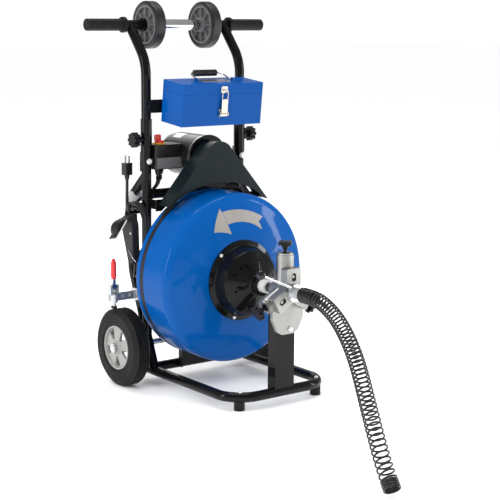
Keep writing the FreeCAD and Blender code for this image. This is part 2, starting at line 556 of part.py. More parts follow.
def make_loading_wheel(side):
    """Small wheel that the tipped machine rolls on: ribbed hub with a solid tyre."""
    half, rim_r, bore = LOADING_W / 2, 49.6, TUBE_R + FIT
    tyre = [(rim_r, -half + 2), (rim_r + 5, -half), (LOADING_R, -half + 2), (LOADING_R, half - 2),
            (rim_r + 5, half), (rim_r, half - 2)]
    hub = [(bore, -half), (20, -half), (22, -4), (rim_r - 5, -4), (rim_r - 4, -half + 2), (rim_r, -half + 2),
           (rim_r, half - 2), (rim_r - 4, half - 2), (rim_r - 5, 4), (22, 4), (20, half), (bore, half)]
    centre = (side * LOADING_X, BAR_Y, BAR_Z)
    name = "left" if side < 0 else "right"
    tyre_solid = turned(tyre, centre, X_AXIS, {2: 5, 3: 5})
    ribs = []
    for step in range(8):
        rib = block((-half + 2, -1.2, 19), (half - 2, 1.2, rim_r - 4.2))
        rib.translate(V(*centre))
        ribs.append(turn(rib, centre, X_AXIS, 45 * step))
    hub_solid = turned(hub, centre, X_AXIS).fuse(ribs).removeSplitter()
    parts["loading_wheel_" + name] = group(tyre_solid, hub_solid)


def make_clamp_knob(side):
    """Star knob whose stud passes through the sleeve and bears on the handle tube."""
    stud_end, face = FRAME_X + TUBE_R + GAP, FRAME_X + SLEEVE_R + 9
    stud = cylinder((stud_end, UPRIGHT_Y, KNOB_Z), (face + 6, UPRIGHT_Y, KNOB_Z), STUD_R)
    neck = cylinder((face - 2, UPRIGHT_Y, KNOB_Z), (face + 5, UPRIGHT_Y, KNOB_Z), 9)
    head = star((face + 4, UPRIGHT_Y, KNOB_Z), X_AXIS, 19.5, 17, 8, 4.6)
    knob = join(stud, neck, head)
    name = "left" if side < 0 else "right"
    parts["clamp_knob_" + name] = knob if side > 0 else mirrored(knob)


# ---- tool box ----
def box_place(shape):
    """Move a shape from the box's own frame, centred on the box, to its tilted place."""
    moved = shape.copy()
    moved.translate(V(*BOX_CENTRE))
    return turn(moved, BOX_CENTRE, X_AXIS, BOX_TILT)


def make_tool_box():
    """Folded sheet box, lid on a rear hinge, bail handle and draw latch."""
    w, d, h = [size / 2 for size in BOX_SIZE]
    seam = h - LID_DEPTH
    pin_r, knuckle_r, pin_y = 1.5, 3.2, d + 3.4
    tray = rounded(block((-w, -d, -h), (w, d, seam - GAP)), 3, Z_AXIS)
    tray = tray.cut(block((-w + SHEET, -d + SHEET, -h + SHEET), (w - SHEET, d - SHEET, h)))
    leaf = block((-90, d - SHEET, seam - 12), (90, d + 1.0, seam - 4.5))
    leaf_ends = [block((x, d - 0.5, seam - 8), (x + 30, pin_y + knuckle_r, seam - 0.5)) for x in (-90, 60)]
    knuckles = [cylinder((x, pin_y, seam), (x + 30, pin_y, seam), knuckle_r) for x in (-90, 60)]
    pin = cylinder((-90, pin_y, seam), (90, pin_y, seam), pin_r)
    hinge_z, front = seam - 50, -d - 6
    base = block((-13, -d - 2.5, hinge_z - 7), (13, -d, hinge_z + 12))
    ears = [block((x, -d - 8, hinge_z - 5), (x + 1.5, -d - 2, hinge_z + 5)) for x in (-13, 11.5)]
    latch_pin = cylinder((-13, front, hinge_z), (13, front, hinge_z), 1.2)
    tray = join(tray, leaf, *leaf_ends, *knuckles, pin, base, *ears, latch_pin)
    parts["box_body"] = box_place(tray)
    lid = rounded(block((-w, -d, seam), (w, d, h)), 3, Z_AXIS)
    lid = lid.cut(block((-w + SHEET, -d + SHEET, seam - 1), (w - SHEET, d - SHEET, h - SHEET)))
    arm = block((-59, d - 0.5, seam + 1), (59, pin_y, seam + knuckle_r))
    barrel = cylinder((-59, pin_y, seam), (59, pin_y, seam), knuckle_r)
    handle_plate = rounded(block((-43, -16, h), (43, 16, h + 1.2)), 4, Z_AXIS)
    stands = [block((x, -5, h), (x + 4, 5, h + 7)) for x in (-58, 54)]
    keeper = rounded(block((-10, -d - 1.6, seam + 3), (10, -d, seam + 20)), 4, Y_AXIS)
    lid = join(lid, arm, barrel, handle_plate, keeper, *stands)
    room = cylinder((-60, pin_y, seam), (60, pin_y, seam), pin_r + FIT)
    pivots = cylinder((-60, 0, h + 4), (60, 0, h + 4), 2 + FIT)
    parts["box_lid"] = box_place(lid.cut(room).cut(pivots))
    reach, lift = 42, h + 14
    rise = [(-56, 0, h + 4), (-50.5, 0, h + 4), (-50.5, reach, lift), (50.5, reach, lift), (50.5, 0, h + 4),
            (56, 0, h + 4)]
    bail = swept(rise, [2.2, 12, 12, 2.2], 2.0)
    grip = cylinder((-34, reach, lift), (34, reach, lift), 8.5)
    parts["box_handle"] = box_place(join(bail, grip))
    lever = rounded(block((-9.5, front - 1.5, hinge_z - 2.8), (9.5, front + 1.5, seam - 12)), 7, Y_AXIS)
    lever_hub = cylinder((-10.5, front, hinge_z), (10.5, front, hinge_z), 2.8)
    loop_route = [(-8.5, -d - 6.5, seam - 17), (-8.5, -d - 6.5, seam + 11), (8.5, -d - 6.5, seam + 11),
                  (8.5, -d - 6.5, seam - 17)]
    loop = swept(loop_route, [5, 5], 1.3)
    latch = join(lever, lever_hub, loop)
    latch = latch.cut(cylinder((-20, front, hinge_z), (20, front, hinge_z), 1.2 + FIT))
    parts["latch_lever"] = box_place(biggest(latch))


def make_box_bracket():
    """Flat strap across the handle tubes with two blocks that carry the box, and its bolts."""
    low, high, back = 709.0, 743.0, UPRIGHT_Y - TUBE_R
    strap = block((-FRAME_X - 12, back - 3, low), (FRAME_X + 12, back, high))
    d = BOX_SIZE[1] / 2
    outer = box_place(block((-BOX_SIZE[0] / 2, -d, -BOX_SIZE[2] / 2), (BOX_SIZE[0] / 2, d, BOX_SIZE[2] / 2)))
    arm = block((84, 30, low), (112, back - 3, high))
    arms = [biggest(shape.cut(outer)) for shape in (arm, mirrored(arm))]
    head = bolt((-FRAME_X, back - 3, (low + high) / 2), (0, -1, 0), 5.5, 4)
    parts["box_bracket"] = group(join(strap, *arms), both(head))


# ---- brake and foot pedal ----
def make_brake():
    """Toggle clamp on a plate beside the left brace: its plunger bears on the tyre."""
    x, y, base_z = -241.0, 96.0, 226.0
    inner = -FRAME_X - TUBE_R
    flange = block((inner - 3, 98, 214), (inner, 132, 244))
    wall = block((-247, 108, 218), (inner, 111, 240))
    body = block((x - 13, 100, base_z - 2), (x + 12, 108, base_z + 24))
    cheek = block((x - 13, 90, base_z + 14), (x - 8, 108, base_z + 40))
    guide = pipe((x, y, base_z - 8), (x, y, base_z + 13), 10, 5 + FIT)
    rib = block((x - 9, y + 2, base_z - 2), (x + 9, 108, base_z + 13)).cut(cylinder(
        (x, y, base_z - 20), (x, y, base_z + 30), 6))
    pin = cylinder((x - 13, y, base_z + 32), (x + 12.5, y, base_z + 32), 2.5)
    other_cheek = cheek.copy()
    other_cheek.translate(V(20, 0, 0))
    heads = [bolt((bolt_x, 108, 229), (0, -1, 0), 5, 4) for bolt_x in (-205, -183)]
    bracket = join(flange, wall, body, cheek, other_cheek, guide, rib, pin)
    room = cylinder((x, y, base_z - 9), (x, y, base_z + 24), 5 + FIT)
    parts["brake_bracket"] = group(bracket.cut(upright_solids).cut(room), *heads)
    hub = cylinder((x - 7, y, base_z + 32), (x + 6, y, base_z + 32), 7)
    arm = block((x - 4.5, y - 4, base_z + 34), (x + 3.5, y + 4, base_z + 58))
    grip = turned([(0, 0), (6, 0), (7.6, 8), (7, 42), (4, 52), (0, 54)], (x - 0.5, y, base_z + 55), Z_AXIS,
                  {2: 10, 3: 10, 4: 4})
    bore = cylinder((x - 20, y, base_z + 32), (x + 20, y, base_z + 32), 2.5 + FIT)
    parts["brake_handle"] = join(hub, arm, grip).cut(bore)
    rod = cylinder((x, y, 208), (x, y, base_z + 16), 5)
    tip = cylinder((x, y, 203.4), (x, y, 209.5), 8)
    parts["brake_plunger"] = join(rod, tip)


def make_pedal():
    """Foot switch hung on the left side: a long shell, and a domed treadle held open by its spring."""
    low, high, inner, outer = 322.0, 446.0, -192.0, -212.0
    half = 26.0
    side = [(PEDAL_Y - half, high - 26), (PEDAL_Y - 19, high), (PEDAL_Y + 19, high), (PEDAL_Y + half, high - 26),
            (PEDAL_Y + 12, low), (PEDAL_Y - 12, low)]
    wire = outline(side, {0: 30, 1: 12, 2: 12, 3: 30, 4: 11, 5: 11})
    shell = turn(Part.Face(wire).extrude(V(0, inner - outer, 0)), (0, 0, 0), Z_AXIS, 90)
    shell.translate(V(inner, 0, 0))
    hx, hy, hz = PEDAL_HINGE
    ears = [block((hx - 4, hy + offset, hz - 5), (outer + 1, hy + offset + 4, hz + 5)) for offset in (-22, 18)]
    pin = cylinder((hx, hy - 22, hz), (hx, hy + 22, hz), 2)
    parts["pedal_base"] = turn(join(shell, pin, *ears), PEDAL_HINGE, X_AXIS, PEDAL_LEAN)
    pad = rounded(block((hx - 5, hy - 17.5, hz - 62), (hx + 1, hy + 17.5, hz + 4)), 2.5, Z_AXIS)
    dome = Part.makeSphere(28, V(hx + 6, hy, hz - 27)).common(
        block((hx - 60, hy - 17.5, hz - 58), (hx - 4, hy + 17.5, hz + 2)))
    treadle = join(pad, dome).cut(cylinder((hx, hy - 30, hz), (hx, hy + 30, hz), 2 + FIT))
    treadle = turn(treadle, PEDAL_HINGE, Y_AXIS, TREADLE_OPEN)
    parts["pedal_treadle"] = turn(treadle, PEDAL_HINGE, X_AXIS, PEDAL_LEAN)


# ---- cords ----
GUIDE_ROUTE = [(0, NOSE_Y, FEED_Z), (0, -424, FEED_Z), (-15, -480, 286), (-40, -552, 271), (-72, -624, 248),
               (-106, -692, 219), (-142, -755, 187), (-176, -812, 152), (-206, -866, 116), (-231, -915, 77),
               (-246, -952, 44), (-252, -975, 21)]
CORD_LEAD = [GLAND_CORD, (-114, 78, 524), (-124, 96, 502), (-146, 110, 484), (-168, 109, 468)]
CORD_TAIL = [(COIL_X + 1, 128, 428), (-177, 130, 456), (-177, 131, 484), (-176, 131, 508), (-176, 131, 533)]
HOSE_LEAD = [GLAND_HOSE, (-95, 96, 524), (-108, 113, 500), (-130, 117, 476), (-152, 109, 458), (-170, 112, 446)]
HOSE_END = [(-177, 76, 340), (-178, 80, 316), (-183, 80, 296), (-192, 72, 285), (-201, 60, 291), (-202, 55, 326)]


def coil_ring():
    """Oval bundle of turns hanging on the hook."""
    half = COIL_STRAIGHT / 2
    upper = Part.makeTorus(COIL_BEND, COIL_R, V(COIL_X, COIL_Y, COIL_Z + half), X_AXIS)
    lower = Part.makeTorus(COIL_BEND, COIL_R, V(COIL_X, COIL_Y, COIL_Z - half), X_AXIS)
    keep_up = block((-300, -100, COIL_Z + half), (0, 300, 600))
    keep_low = block((-300, -100, 200), (0, 300, COIL_Z - half))
    runs = [cylinder((COIL_X, COIL_Y + side * COIL_BEND, COIL_Z - half),
                     (COIL_X, COIL_Y + side * COIL_BEND, COIL_Z + half), COIL_R) for side in (-1, 1)]
    return join(upper.common(keep_up), lower.common(keep_low), *runs)


def make_cords():
    parts["guide_spring"] = cord("guide_spring", GUIDE_ROUTE, SPRING_R)
    parts["cord_coil"] = coil_ring()
    ring = parts["cord_coil"]
    parts["power_cord"] = group(biggest(cord("cord lead", CORD_LEAD, CORD_R).cut(ring)),
                                biggest(cord("cord tail", CORD_TAIL, CORD_R).cut(ring)))
    hose_end = cord("hose end", HOSE_END, HOSE_R).cut(ring).cut(parts["pedal_base"])
    parts["air_hose"] = group(biggest(cord("hose lead", HOSE_LEAD, HOSE_R).cut(ring)), biggest(hose_end))
    x, y, z = CORD_TAIL[-1]
    boot = turned([(0, 0), (5.5, 0), (7.5, 14), (0, 14)], (x, y, z), Z_AXIS)
    shell = rounded(block((x - 12, y - 11, z + 12), (x + 12, y + 11, z + 44)), 5, Z_AXIS)
    blades = [block((x - 6.5 + 12.2 * side, y - 3, z + 43), (x - 5 + 12.2 * side, y + 3.5, z + 61)) for side in (0, 1)]
    ground = cylinder((x, y + 7, z + 43), (x, y + 7, z + 64), 2.4)
    parts["plug"] = join(boot, shell, ground, *blades)


# ---- build and write ----
def main():
    make_base()
    make_uprights()
    make_braces()
    parts["cross_tubes"] = group(cross_tube(REAR_BAR_Y, RAIL_Z), cross_tube(UPRIGHT_Y, MID_BAR_Z))
    make_axle()
    make_drum()
    make_drive()
    make_motor_mount()
    make_bearing_support()
    make_switch_box()
    make_feed()
    make_handle()
    for side in (-1, 1):
        make_wheel(side)
        make_loading_wheel(side)
        make_clamp_knob(side)
    make_tool_box()
    make_box_bracket()
    make_brake()
    make_pedal()
    make_cords()
    os.makedirs("parts", exist_ok=True)
    for name, shape in parts.items():
        placed = shape.copy()
        placed.translate(V(0, CENTRE_SHIFT, 0))
        placed.exportStep(f"parts/{name}.step")
        valid = "ok" if shape.isValid() else "NOT VALID"
        print(f"{name}: {len(shape.Solids)} solids, {shape.Volume / 1000:.1f} cm3, {valid}")


main()
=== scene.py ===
# %% [markdown]
# # Drain snake machine
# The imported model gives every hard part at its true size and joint. This lesson dresses those parts in
# paint, cast metal, rubber and plastic, and adds what solids can't give: the wound guide hose, the cords,
# labels, welds and ribs. Nothing that the model places is moved.

# %% Load the machine
import math
import bpy
from mathutils import Matrix, Vector
from mathutils.bvhtree import BVHTree


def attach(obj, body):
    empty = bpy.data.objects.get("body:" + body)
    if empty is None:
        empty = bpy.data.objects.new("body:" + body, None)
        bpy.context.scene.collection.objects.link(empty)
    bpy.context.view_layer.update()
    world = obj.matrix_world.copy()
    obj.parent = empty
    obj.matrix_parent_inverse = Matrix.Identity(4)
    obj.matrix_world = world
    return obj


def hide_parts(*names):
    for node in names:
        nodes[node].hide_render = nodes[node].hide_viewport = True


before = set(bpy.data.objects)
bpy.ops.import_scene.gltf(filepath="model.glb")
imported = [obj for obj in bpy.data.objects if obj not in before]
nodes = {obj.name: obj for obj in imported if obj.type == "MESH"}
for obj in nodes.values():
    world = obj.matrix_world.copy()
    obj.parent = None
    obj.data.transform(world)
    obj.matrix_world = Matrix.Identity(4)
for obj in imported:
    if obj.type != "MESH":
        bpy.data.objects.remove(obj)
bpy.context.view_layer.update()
MM = 0.001
MACHINE_Y = 82.3     # the machine's own y = 0, at the belt groove, in millimetres from the model's middle


def at(x, y, z):
    """A place on the machine in millimetres, as metres in the model's frame."""
    return Vector((x, y + MACHINE_Y, z)) * MM


# %% [markdown]
# ## The camera
# A long lens from well back keeps the machine's uprights nearly parallel, as product pictures do. The
# camera looks along the machine from its front left, a little downwards.

# %% Set the camera
YAW, PITCH, ROLL = (math.radians(v) for v in (37.536, 9.892, 0.4605))
forward = Vector((math.sin(YAW) * math.cos(PITCH), math.cos(YAW) * math.cos(PITCH), -math.sin(PITCH)))
level = Vector((math.cos(YAW), -math.sin(YAW), 0))
upward = level.cross(forward)
right = math.cos(ROLL) * level + math.sin(ROLL) * upward
top = -math.sin(ROLL) * level + math.cos(ROLL) * upward
camera = bpy.data.objects.new("camera", bpy.data.cameras.new("camera"))
camera.matrix_world = Matrix((right, top, -forward)).transposed().to_4x4()
camera.location = at(-2074.21, -2869.77, 964.64)
LENS, SENSOR, FURTHEST = 97.95, 36.0, 60
camera.data.lens, camera.data.sensor_width = LENS, SENSOR
camera.data.clip_end = FURTHEST
bpy.context.scene.collection.objects.link(camera)
bpy.context.scene.camera = camera
print("camera distance to the drum", round((camera.location - at(0, -60, 288)).length, 2), "m")

# %% [markdown]
# ## Routes of the cords
# A free cord is one smooth NURBS line through the air. Order 3 keeps it close to its control points, and
# the end points are reached because the spline is told to touch them after its points are in.

# %% Make a cord from its control points


def cord_curve(name, points, diameter):
    """A round cord along a smooth line through the air."""
    data = bpy.data.curves.new(name, "CURVE")
    data.dimensions = "3D"
    spline = data.splines.new("NURBS")
    spline.points.add(len(points) - 1)
    for control, place in zip(spline.points, points):
        control.co = (*place, 1)
    spline.order_u = 3
    spline.use_endpoint_u = True
    spline.resolution_u = 6
    data.bevel_depth, data.bevel_resolution = diameter / 2, 4
    data.use_fill_caps = True
    curve = bpy.data.objects.new(name, data)
    bpy.context.scene.collection.objects.link(curve)
    return curve


def line_of(curve, fine=12):
    """Points along a curve's own middle line."""
    bare = curve.copy()
    bare.data = curve.data.copy()
    bare.data.bevel_depth, bare.data.use_fill_caps = 0, False
    bare.data.splines[0].resolution_u = fine
    bpy.context.scene.collection.objects.link(bare)
    bpy.context.view_layer.update()
    mesh = bpy.data.meshes.new_from_object(bare.evaluated_get(bpy.context.evaluated_depsgraph_get()))
    points = [v.co.copy() for v in mesh.vertices]
    bpy.data.objects.remove(bare)
    bpy.data.meshes.remove(mesh)
    return points


def length_of(points):
    """The length of a line of points, in metres."""
    return sum((b - a).length for a, b in zip(points, points[1:]))


print("length helper on a 3-4-5 corner:", length_of([Vector((0, 0, 0)), Vector((3, 0, 0)), Vector((3, 4, 0))]))

# %% [markdown]
# ## The coil of turns on the hook
# The mains lead and the pedal's air hose hang together on a hook. Each strand keeps its own seat in the
# bundle and moves over to the next one as it goes round, as hand-wound turns do.

# %% Wind the lead and the hose
COIL_X, COIL_Y, COIL_Z, COIL_R = -176.5, 85.0, 405.0, 44.0
DEGREES_APART, WOBBLE, STRETCH, SQUARENESS, SEAT_R = 22, 1.2, 22, 3, 7.6
SEATS = [(SEAT_R * math.cos(math.radians(a)), SEAT_R * math.sin(math.radians(a))) for a in range(0, 360, 60)]


def turns(start, end, seats):
    """Control points round the oval, from one angle to another, over a list of seats in the bundle."""
    count = int(abs(end - start) / DEGREES_APART)
    points = []
    for step in range(count + 1):
        share = step / count
        angle = math.radians(start + (end - start) * share)
        seat = share * (len(seats) - 1)
        first = min(int(seat), len(seats) - 2)
        blend = seat - first
        across, out = (a + (b - a) * blend for a, b in zip(seats[first], seats[first + 1]))
        out += WOBBLE * math.sin(2.3 * angle)
        y = COIL_Y + (COIL_R + out) * math.cos(angle)
        lengthen = STRETCH * math.tanh(SQUARENESS * math.sin(angle))
        z = COIL_Z + (COIL_R + out) * math.sin(angle) + lengthen
        points.append(at(COIL_X + across, y, z))
    return points


LEAD_IN = [(-114, 78, 545), (-114, 78, 524), (-124, 96, 502), (-146, 110, 484), (-163, 111, 472)]
LEAD_OUT = [(-177, 130, 456), (-177, 131, 484), (-176, 131, 508), (-176, 131, 536)]
HOSE_IN = [(-95, 96, 545), (-95, 96, 524), (-108, 113, 500), (-130, 117, 476), (-152, 111, 460)]
HOSE_OUT = [(-178, 78, 316), (-183, 79, 296), (-192, 72, 285), (-201, 60, 291), (-202, 55, 324)]
lead_points = [at(*p) for p in LEAD_IN] + turns(66, 4 * 360 + 12, SEATS[0:4]) + [at(*p) for p in LEAD_OUT]
hose_points = [at(*p) for p in HOSE_IN] + turns(52, 2 * 360 + 258, SEATS[4:6] + [(0, 0)])
hose_points += [at(*p) for p in HOSE_OUT]
power_lead = cord_curve("power_lead", lead_points, 0.008)
pedal_hose = cord_curve("pedal_hose", hose_points, 0.006)
lead_length, hose_length = (length_of(line_of(c)) for c in (power_lead, pedal_hose))
for piece, covers in ((power_lead, ("power_cord", "cord_coil")), (pedal_hose, ("air_hose",))):
    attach(piece, "frame")
    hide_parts(*covers)
print("lead", round(lead_length, 3), "m, hose", round(hose_length, 3), "m")

# %% [markdown]
# ## The guide hose
# The hose at the nose is an open coil of spring wire: close turns where it is clamped, open turns along
# its length, and a few close ones at its end. It is built as a wire that circles the hose's middle line.

# %% Make bars along a line
GUIDE_ROUTE = [(0, -382, 290), (0, -424, 290), (-15, -480, 286), (-40, -552, 271), (-72, -624, 248),
               (-106, -692, 219), (-142, -755, 187), (-176, -812, 152), (-206, -866, 116),
               (-231, -915, 77), (-246, -952, 44), (-252, -975, 21)]
HOSE_R, WIRE_R = 19.5 * MM, 2.2 * MM
CLOSE_FRONT, OPEN_TURNS, CLOSE_END = 10, 45, 5
CLOSE_GAP = 1.06     # a close turn's pitch, in wire thicknesses


def travelling_frames(points):
    """At each point, the way along and two directions across that don't twist."""
    along = [(b - a).normalized() for a, b in zip(points, points[1:])]
    along.append(along[-1])
    side = along[0].cross(Vector((1, 0, 0))).normalized()
    frames = []
    for way in along:
        side = (side - way * side.dot(way)).normalized()
        frames.append((way, side, way.cross(side)))
    return frames


def mesh_piece(name, verts, faces):
    """An object made from bare vertices and faces, shaded smooth."""
    mesh = bpy.data.meshes.new(name)
    mesh.from_pydata([tuple(v) for v in verts], [], faces)
    mesh.validate()
    for polygon in mesh.polygons:
        polygon.use_smooth = True
    piece = bpy.data.objects.new(name, mesh)
    bpy.context.scene.collection.objects.link(piece)
    return piece


def tube(name, points, radius, sides=10):
    """A closed round bar along points."""
    verts, faces = [], []
    for point, (_, u, v) in zip(points, travelling_frames(points)):
        for k in range(sides):
            a = 2 * math.pi * k / sides
            verts.append(point + (u * math.cos(a) + v * math.sin(a)) * radius)
    for i in range(len(points) - 1):
        for k in range(sides):
            a, b = i * sides + k, i * sides + (k + 1) % sides
            faces.append((a, b, b + sides, a + sides))
    last = (len(points) - 1) * sides
    faces += [tuple(range(sides))[::-1], tuple(range(last, last + sides))]
    return mesh_piece(name, verts, faces)


print("guide hose route", round(length_of([at(*p) for p in GUIDE_ROUTE]), 3), "m in straight steps")

# %% [markdown]
# The hose's middle line is bent first and measured. The turns are then laid along it by distance, so that
# the open ones share evenly what the close ones leave.

# %% Wind the guide hose
guide_line = cord_curve("guide_line", [at(*p) for p in GUIDE_ROUTE], 0.01)
middle = line_of(guide_line, 24)
bpy.data.objects.remove(guide_line)
total = length_of(middle)
close_pitch = 2 * WIRE_R * CLOSE_GAP
spent = close_pitch * (CLOSE_FRONT + CLOSE_END)
open_pitch = (total - spent) / OPEN_TURNS
travelled = [0.0]
for a, b in zip(middle, middle[1:]):
    travelled.append(travelled[-1] + (b - a).length)
frames = travelling_frames(middle)


def on_line(distance):
    """The middle line's place and directions at a distance along it."""
    k = next((i for i, d in enumerate(travelled[1:]) if d >= distance), len(travelled) - 2)
    share = (distance - travelled[k]) / max(travelled[k + 1] - travelled[k], 1e-9)
    return middle[k].lerp(middle[k + 1], min(max(share, 0), 1)), frames[k]


wire, distance, STEPS = [], 0.0, 26
for turn in range(CLOSE_FRONT + OPEN_TURNS + CLOSE_END):
    pitch = open_pitch if CLOSE_FRONT <= turn < CLOSE_FRONT + OPEN_TURNS else close_pitch
    for step in range(STEPS):
        a = 2 * math.pi * step / STEPS
        place, (_, u, v) = on_line(distance)
        wire.append(place + (u * math.cos(a) + v * math.sin(a)) * (HOSE_R - WIRE_R))
        distance += pitch / STEPS
guide_hose = tube("guide_hose", wire, WIRE_R, 9)
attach(guide_hose, "frame")
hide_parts("guide_spring")
print("guide hose", round(total, 3), "m, open pitch", round(open_pitch * 1000, 1), "mm")

# %% [markdown]
# ## Floor and light
# A pale floor and bright air give the soft, nearly shadowless light of a studio. Narrow tall lamps at the
# sides draw long streaks on gloss paint and tubes. The key and fill lamps only brighten: they are hidden
# from reflections, so that they leave no patch on the drum. The air is dimmer in reflections, to keep
# black paint black.

# %% Set the stage
FLOOR_HALF = 30.0
floor = mesh_piece("floor", [(x, y, 0) for x, y in ((-1, -1), (1, -1), (1, 1), (-1, 1))], [(0, 1, 2, 3)])
for vertex in floor.data.vertices:
    vertex.co.x *= FLOOR_HALF
    vertex.co.y *= FLOOR_HALF


def lamp(name, place, target, size, power, glossy=True):
    """A rectangular lamp aimed at a target, of a width and height in metres and a power in watts."""
    data = bpy.data.lights.new(name, "AREA")
    data.shape, data.size, data.size_y, data.energy = "RECTANGLE", size[0], size[1], power
    light = bpy.data.objects.new(name, data)
    light.location = place
    light.visible_glossy = glossy
    light.rotation_euler = (Vector(target) - Vector(place)).to_track_quat("-Z", "Y").to_euler()
    bpy.context.scene.collection.objects.link(light)


lamp("key", (-2.7, -1.0, 2.2), (0, 0, 0.5), (1.4, 1.6), 40, glossy=False)
lamp("left edge", (-3.0, 0.4, 1.1), (0, 0, 0.5), (0.35, 1.9), 22)
lamp("strip", (2.65, -1.95, 1.0), (0, 0, 0.5), (0.35, 1.9), 30)
lamp("fill", (2.2, -2.2, 2.0), (0, 0, 0.4), (1.2, 1.8), 22, glossy=False)
lamp("overhead", (0.2, 0.5, 3.2), (0, 0, 0.4), (2.0, 0.7), 34)
lamp("back", (0.6, 2.6, 1.6), (0, 0, 0.5), (1.6, 1.4), 24)
world = bpy.data.worlds.new("studio")
world.use_nodes = True
air = world.node_tree
path = air.nodes.new("ShaderNodeLightPath").outputs
glow = air.nodes.new("ShaderNodeMapRange")
air.links.new(path["Is Glossy Ray"], glow.inputs[0])
AIR_ON_SURFACES, AIR_IN_REFLECTIONS, BACKDROP = 1.16, 0.34, 1.05
glow.inputs[3].default_value, glow.inputs[4].default_value = AIR_ON_SURFACES, AIR_IN_REFLECTIONS
strength = air.nodes.new("ShaderNodeMix")
air.links.new(path["Is Camera Ray"], strength.inputs[0])
air.links.new(glow.outputs[0], strength.inputs[2])
strength.inputs[3].default_value = BACKDROP
air.links.new(strength.outputs[0], air.nodes["Background"].inputs["Strength"])
air.nodes["Background"].inputs["Color"].default_value = (1, 1, 1, 1)
bpy.context.scene.world = world
bpy.context.scene.view_settings.view_transform = "Standard"

# %% [markdown]
# ## How a finish is made
# Every finish is the same small recipe: a base colour that drifts a little, roughness that drifts with
# it, and a fine grain as bump. A second finish can be let in by a mask, where one part has two.

# %% Build a finish from noise


def node(tree, kind, inputs=(), **settings):
    """A shader node: an input that is another node's socket is linked, any other is set."""
    made = tree.nodes.new(kind)
    for key, value in settings.items():
        setattr(made, key, value)
    for key, value in dict(inputs).items():
        if isinstance(value, bpy.types.NodeSocket):
            tree.links.new(value, made.inputs[key])
        else:
            made.inputs[key].default_value = value
    return made


def where(tree):
    """The place on the part, in the model's own frame."""
    return node(tree, "ShaderNodeTexCoord").outputs["Object"]


def noise(tree, scale, detail=3.0):
    """Cloudy values between 0 and 1."""
    settings = {"Vector": where(tree), "Scale": scale, "Detail": detail}
    return node(tree, "ShaderNodeTexNoise", settings).outputs[0]


def spread(tree, value, low, high, start=0.3, end=0.7):
    """Stretch a value's span from start to end over low to high. The span suits a noise's middle."""
    return node(tree, "ShaderNodeMapRange", {0: value, 1: start, 2: end, 3: low, 4: high}).outputs[0]


def blend_colour(tree, share, first, second):
    """The first colour where share is 0 and the second where it is 1."""
    made = node(tree, "ShaderNodeMix", data_type="RGBA")
    for index, value in ((0, share), (6, first), (7, second)):
        if isinstance(value, bpy.types.NodeSocket):
            tree.links.new(value, made.inputs[index])
        else:
            made.inputs[index].default_value = value if index == 0 else (*value, 1)
    return made.outputs[2]


def sums(tree, operation, first, second=0.0):
    """One step of arithmetic on values."""
    return node(tree, "ShaderNodeMath", {0: first, 1: second}, operation=operation).outputs[0]


def shade(colour, factor):
    """A lighter or darker colour."""
    return tuple(min(c * factor, 1) for c in colour)


FINISHES = {}


def finish(name, colour, rough, metal=0.0, drift=0.15, drift_scale=12, grain=0.12, grain_scale=700,
           grain_depth=0.0003, coat=0.0, coat_rough=0.08, rough_drift=0.06, gloss=0.5, mask=None, other=None,
           relief=None):
    """A procedural finish. mask(tree) lets in other = (colour, roughness, metal)."""
    made = bpy.data.materials.new(name)
    made.use_nodes = True
    tree = made.node_tree
    shader = tree.nodes["Principled BSDF"]
    patches = noise(tree, drift_scale)
    dark, light = shade(colour, 1 - drift), shade(colour, 1 + drift)
    base = blend_colour(tree, spread(tree, patches, 0, 1), dark, light)
    roughness = spread(tree, noise(tree, drift_scale * 4), rough - rough_drift, rough + rough_drift)
    if mask:
        share = mask(tree)
        base = blend_colour(tree, share, base, other[0])
        keep = sums(tree, "MULTIPLY", roughness, sums(tree, "SUBTRACT", 1.0, share))
        roughness = sums(tree, "ADD", keep, sums(tree, "MULTIPLY", share, other[1]))
        low = sums(tree, "MULTIPLY", sums(tree, "SUBTRACT", 1.0, share), metal)
        tree.links.new(sums(tree, "ADD", low, sums(tree, "MULTIPLY", share, other[2])), shader.inputs["Metallic"])
    else:
        shader.inputs["Metallic"].default_value = metal
    tree.links.new(base, shader.inputs["Base Color"])
    tree.links.new(roughness, shader.inputs["Roughness"])
    height = noise(tree, grain_scale, 2.0)
    bump = node(tree, "ShaderNodeBump", {"Strength": grain, "Distance": grain_depth, "Height": height})
    if relief:
        bump = node(tree, "ShaderNodeBump", {"Strength": 1.0, "Distance": 0.0008, "Height": relief(tree),
                                             "Normal": bump.outputs[0]})
    tree.links.new(bump.outputs[0], shader.inputs["Normal"])
    shader.inputs["Specular IOR Level"].default_value = gloss
    shader.inputs["Coat Weight"].default_value = coat
    shader.inputs["Coat Roughness"].default_value = coat_rough
    FINISHES[name] = made
    return made


print("finishes so far", len(FINISHES))

# %% [markdown]
# ## Masks for parts with two finishes
# A mask picks out where a part's second finish shows: round a point or a line, past a plane, or inside a
# block. It is worked out from the place on the part, so the meshes need no painting by hand.

# %% Make the masks


def within(axis, centre, radius, soft=0.0003):
    """A mask that is 1 near a line along an axis (0, 1 or 2) through centre, or near centre without one."""

    def mask(tree):
        apart = node(tree, "ShaderNodeVectorMath", {0: where(tree), 1: centre}, operation="SUBTRACT").outputs[0]
        keep = [1.0] * 3
        if axis is not None:
            keep[axis] = 0.0
        flat = node(tree, "ShaderNodeVectorMath", {0: apart, 1: keep}, operation="MULTIPLY").outputs[0]
        distance = node(tree, "ShaderNodeVectorMath", {0: flat}, operation="LENGTH").outputs["Value"]
        return spread(tree, distance, 1, 0, radius - soft, radius + soft)

    return mask


